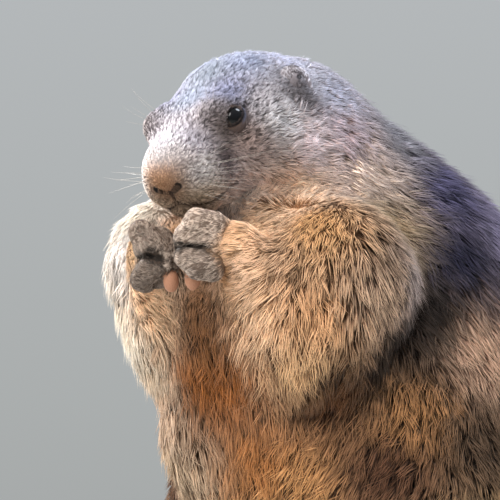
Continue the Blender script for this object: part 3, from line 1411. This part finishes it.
print("all tufts:", sum(len(piece.data.polygons) for piece in coat.values()) // 6)

# %% [markdown]
# ## Eyes
#
# A marmot's eye is a dark brown ball with a wide pupil, wet enough to mirror the sky. It is a smooth
# sphere with its pole facing out, coloured in rings by the distance from that pole.

# %% Eyeballs
EYE_RINGS = (
    # place, from the pole at 0 to the equator at 1, and colour
    (0.0, (0.002, 0.002, 0.003)),
    (0.38, (0.003, 0.003, 0.003)),
    (0.44, (0.022, 0.013, 0.007)),
    (0.60, (0.016, 0.010, 0.006)),
    (0.68, (0.004, 0.003, 0.003)),
    (1.0, (0.010, 0.008, 0.007)),
)
wet_eye, eye_tree, eye_shader = plain_material("wet eye", 0.04, 0.2)
eye_colour = colour_ramp(eye_tree, stored(eye_tree.nodes, "from_pole", "Fac"), EYE_RINGS)
eye_tree.links.new(eye_colour, eye_shader.inputs["Base Color"])
eyes = {}
for side_name, side in SIDES.items():
    facing = HEAD_TURN @ np.array((side * EYE_FACING[0], EYE_FACING[1], EYE_FACING[2]))
    turn = Vector(facing).to_track_quat("Z", "Y").to_matrix().to_4x4()
    bm = bmesh.new()
    bmesh.ops.create_uvsphere(bm, u_segments=40, v_segments=28, radius=EYE_RADIUS * MM)
    mesh = bpy.data.meshes.new("eyeball_" + side_name)
    bm.to_mesh(mesh)
    bm.free()
    heights = np.array([vert.co.z for vert in mesh.vertices]) / (EYE_RADIUS * MM)
    set_attribute(mesh, "from_pole", "FLOAT", np.arccos(np.clip(heights, -1.0, 1.0)) / (math.pi / 2.0))
    mesh.transform(Matrix.Translation(Vector((eye_centre(side) + SHIFT) * MM)) @ turn)
    mesh.materials.append(wet_eye)
    mesh.shade_smooth()
    eyes[side_name] = new_object("eyeball_" + side_name, mesh)
print("eyes at", {name: [round(v, 1) for v in eye_centre(side)] for name, side in SIDES.items()})

# %% [markdown]
# ## Claws and whiskers
#
# Claws are dark, blunt and slightly curved, on the toes and, folded away, on the fingers. Whiskers are
# stiff pale bristles on the muzzle, over the eyes and on the cheeks. Both are tapered tubes, closed at
# both ends, so one function makes them.

# %% Tapered tubes
def tapered_tube(bm, path, radii, sides=8):
    """Adds a closed tube to a mesh in the making."""
    path = np.array(path, float)
    loops = []
    for index, (point, radius) in enumerate(zip(path, radii)):
        ahead = Vector(path[min(index + 1, len(path) - 1)] - path[max(index - 1, 0)])
        turn = ahead.to_track_quat("Z", "Y").to_matrix()
        ring = []
        for k in range(sides):
            angle = 2.0 * math.pi * k / sides
            offset = turn @ Vector((math.cos(angle) * radius, math.sin(angle) * radius, 0.0))
            ring.append(bm.verts.new((Vector(point + SHIFT) + offset) * MM))
        loops.append(ring)
    for near, far in zip(loops, loops[1:]):
        for k in range(sides):
            bm.faces.new((near[k], near[(k + 1) % sides], far[(k + 1) % sides], far[k]))
    bm.faces.new(loops[0][::-1])
    bm.faces.new(loops[-1])


def object_from(bm, name, material):
    bmesh.ops.recalc_face_normals(bm, faces=bm.faces)
    mesh = bpy.data.meshes.new(name)
    bm.to_mesh(mesh)
    bm.free()
    mesh.materials.append(material)
    mesh.shade_smooth()
    return new_object(name, mesh)


# %% Claws
CLAW_LENGTH = 8.0
CLAW_RISE, CLAW_BEND = 1.6, 3.8
UPWARD = np.array((0.0, 0.0, 1.0))
CLAW_RADIUS, CLAW_POINT = 2.0, 0.35
claw_horn, horn_tree, horn_shader = plain_material("claw horn", 0.32, 0.5)
horn_colour = colour_ramp(horn_tree, grain_of(horn_tree, 700.0),
                          ((0.0, (0.012, 0.009, 0.008)), (1.0, (0.075, 0.052, 0.038))))
horn_tree.links.new(horn_colour, horn_shader.inputs["Base Color"])
claws = {}
for side_name, side in SIDES.items():
    mirror = np.array((side, 1.0, 1.0))
    bm = bmesh.new()
    for root, tip in toe_lines():
        ahead = (tip - root) / np.linalg.norm(tip - root)
        steps = np.linspace(0.0, 1.0, 6)
        path = [tip + ahead * (1.0 + (CLAW_LENGTH + 1.0) * t) + UPWARD * (CLAW_RISE - CLAW_BEND * t * t)
                for t in steps]
        tapered_tube(bm, np.array(path) * mirror, CLAW_RADIUS - (CLAW_RADIUS - CLAW_POINT) * steps)
    claws["claws_foot_" + side_name] = object_from(bm, "claws_foot_" + side_name, claw_horn)
    bm = bmesh.new()
    for level, radius, back in FINGERS:
        finger_tip = np.array(finger_line(level, back)[2])
        steps = np.linspace(0.0, 1.0, 5)
        path = [finger_tip + np.array((2.0 * t, 1.5 + CLAW_LENGTH * t, -1.5 * t)) for t in steps]
        tapered_tube(bm, np.array(path) * mirror + drop_of(side), 0.34 * radius * (1.0 - 0.8 * steps))
    claws["claws_hand_" + side_name] = object_from(bm, "claws_hand_" + side_name, claw_horn)
print("claws:", list(claws))

# %% Whiskers
whisker_pale, _, whisker_shader = plain_material("whisker", 0.35, 0.5)
whisker_shader.inputs["Base Color"].default_value = (*linear((176, 168, 158)), 1.0)
WHISKER_ROWS = (
    # place on the head, heading, how many, how long
    ((19, 8, 1), (0.95, -0.05, 0.18), 3, 27.0),
    ((20, 8, -3), (0.97, 0.0, 0.0), 4, 34.0),
    ((19, 8, -8), (0.92, 0.05, -0.2), 4, 31.0),
    ((16, 8, -13), (0.8, 0.1, -0.4), 3, 22.0),
    ((20, 30, 24), (0.35, -0.55, 0.7), 5, 21.0),
    ((34, 48, -12), (0.8, 0.5, -0.3), 2, 22.0),
)
WHISKER_SPACING, WHISKER_FAN, WHISKER_DROOP = 3.4, 0.16, 0.22
WHISKER_RADIUS, WHISKER_POINT = 0.10, 0.02
backward = HEAD_TURN @ np.array((0.0, 1.0, -0.25))
steps = np.linspace(0.0, 1.0, 9)
whisker_draw = np.random.default_rng(5)
bm = bmesh.new()
for (x, y, z), heading, count, whisker_length in WHISKER_ROWS:
    for side in (1.0, -1.0):
        for number in range(count):
            spread = number - (count - 1) / 2.0
            height = z + whisker_draw.normal(0, 0.8)
            start = head_point((side * x, y + WHISKER_SPACING * spread, height))
            start = settled(start[None], bare_body, 3)[0]
            out = np.array((side * heading[0], heading[1] + WHISKER_FAN * spread, heading[2]))
            out += whisker_draw.normal(0, 0.07, 3)
            out = HEAD_TURN @ (out / np.linalg.norm(out))
            reach = whisker_length * whisker_draw.uniform(0.75, 1.1)
            path = [start + out * (reach * t - 0.8) + backward * WHISKER_DROOP * reach * t * t for t in steps]
            tapered_tube(bm, path, WHISKER_RADIUS - (WHISKER_RADIUS - WHISKER_POINT) * steps, sides=5)
whiskers = object_from(bm, "whiskers", whisker_pale)
print("whiskers:", 2 * sum(row[2] for row in WHISKER_ROWS))

# %% [markdown]
# ## Everything rides on the solid
#
# The skins and the eyes each say which of the solids they take the place of. Every piece moves with the
# one body that the solid has, and says which finish it has.

# %% Ride and replace
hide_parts("head", "neck", "torso", "upper_arm_left", "upper_arm_right", "forearm_left",
            "forearm_right", "thigh_left", "thigh_right", "tail")
for side_name in SIDES:
    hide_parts("ear_" + side_name)
    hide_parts("hand_" + side_name)
    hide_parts("hind_foot_" + side_name)
    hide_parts("eye_" + side_name)
dressed = [skin, *small_skins.values(), *coat.values(), *eyes.values(), *claws.values(), whiskers]
for piece in dressed:
    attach(piece, "root")
print("pieces:", len(dressed))

# %% [markdown]
# ## Light and camera
#
# The light is that of an overcast day: soft from all round, a broad pale source high on the animal's
# right, and another behind it that lifts the far edge of the coat. A small weak light over the eye is
# there for its glint. The camera stands low and in front of the animal's left shoulder, with a long
# lens, so the floor is below the picture.

# %% Floor, light and camera
FLOOR_HALF_WIDTH = 30.0
FLOOR_COLOUR = (0.62, 0.62, 0.60, 1.0)
# the sky's colours, from straight down at 0 to straight up at 1
SKY_COLOURS = ((0.30, (0.16, 0.155, 0.14)), (0.52, (0.44, 0.46, 0.46)), (1.0, (0.95, 1.0, 1.12)))
SKY_STRENGTH = 0.92
CAMERA_TURN, CAMERA_TILT = math.radians(40.0), math.radians(-4.5)
CAMERA_DISTANCE, FIELD_WIDTH, SENSOR_WIDTH = 2.0, 0.270, 36.0
# the picture's middle lies this far to the right of the hands and this high, in millimetres
AIM_RIGHT, AIM_HEIGHT = 33.5, 223.0

floor_mesh = bpy.data.meshes.new("floor")
floor_corners = [(x * FLOOR_HALF_WIDTH, y * FLOOR_HALF_WIDTH, 0)
                 for x, y in ((-1, -1), (1, -1), (1, 1), (-1, 1))]
floor_mesh.from_pydata(floor_corners, [], [(0, 1, 2, 3)])
floor_material, _, floor_shader = plain_material("pale floor", 0.8)
floor_shader.inputs["Base Color"].default_value = FLOOR_COLOUR
floor_mesh.materials.append(floor_material)
new_object("floor", floor_mesh)

world = bpy.data.worlds.new("studio")
bpy.context.scene.world = world
world.use_nodes = True
sky = world.node_tree
parts = sky.nodes.new("ShaderNodeSeparateXYZ")
shifted = new_node(sky.nodes, "ShaderNodeMapRange", {"From Min": -1.0})
background = sky.nodes["Background"].inputs
background["Strength"].default_value = SKY_STRENGTH
link_all(sky, (
    (sky.nodes.new("ShaderNodeTexCoord").outputs["Generated"], parts.inputs["Vector"]),
    (parts.outputs["Z"], shifted.inputs["Value"]),
    (colour_ramp(sky, shifted.outputs["Result"], SKY_COLOURS), background["Color"]),
))

right = Vector((math.cos(CAMERA_TURN), math.sin(CAMERA_TURN), 0.0))
back = Vector((math.sin(CAMERA_TURN) * math.cos(CAMERA_TILT), -math.cos(CAMERA_TURN) * math.cos(CAMERA_TILT),
               math.sin(CAMERA_TILT)))
up = back.cross(right)
aim = Vector((np.array(right) * AIM_RIGHT + np.array((0.0, 0.0, AIM_HEIGHT)) + SHIFT) * MM)
eye_place = Vector((eye_centre(1.0) + SHIFT) * MM)
LIGHTS = (
    # name, what it lights, how far back from it, to the right and up, size, power, colour
    ("catch", eye_place, (-0.05, 0.21, 0.45), 0.18, 1.6, (0.85, 0.92, 1.0)),
    ("key", aim, (1.1, -1.0, 1.4), 1.2, 46.0, (1.0, 0.97, 0.93)),
    ("rim", aim, (-1.0, -1.2, 0.9), 0.9, 62.0, (1.0, 0.98, 0.95)),
)
for name, target, (backwards, sideways, upwards), size, power, colour in LIGHTS:
    data = bpy.data.lights.new(name, "AREA")
    data.shape = "DISK"
    data.size, data.energy, data.color = size, power, colour
    light = new_object(name, data)
    away = back * backwards + right * sideways + up * upwards
    light.location = target + away
    light.rotation_euler = away.to_track_quat("Z", "Y").to_euler()
camera_data = bpy.data.cameras.new("camera")
camera_data.sensor_width = SENSOR_WIDTH
camera_data.lens = SENSOR_WIDTH * CAMERA_DISTANCE / FIELD_WIDTH
camera = new_object("camera", camera_data)
camera.location = aim + back * CAMERA_DISTANCE
camera.rotation_euler = back.to_track_quat("Z", "Y").to_euler()
bpy.context.scene.camera = camera
bpy.context.scene.view_settings.view_transform = "Standard"
print("camera at", [round(v, 3) for v in camera.location], "lens", round(camera_data.lens, 1))
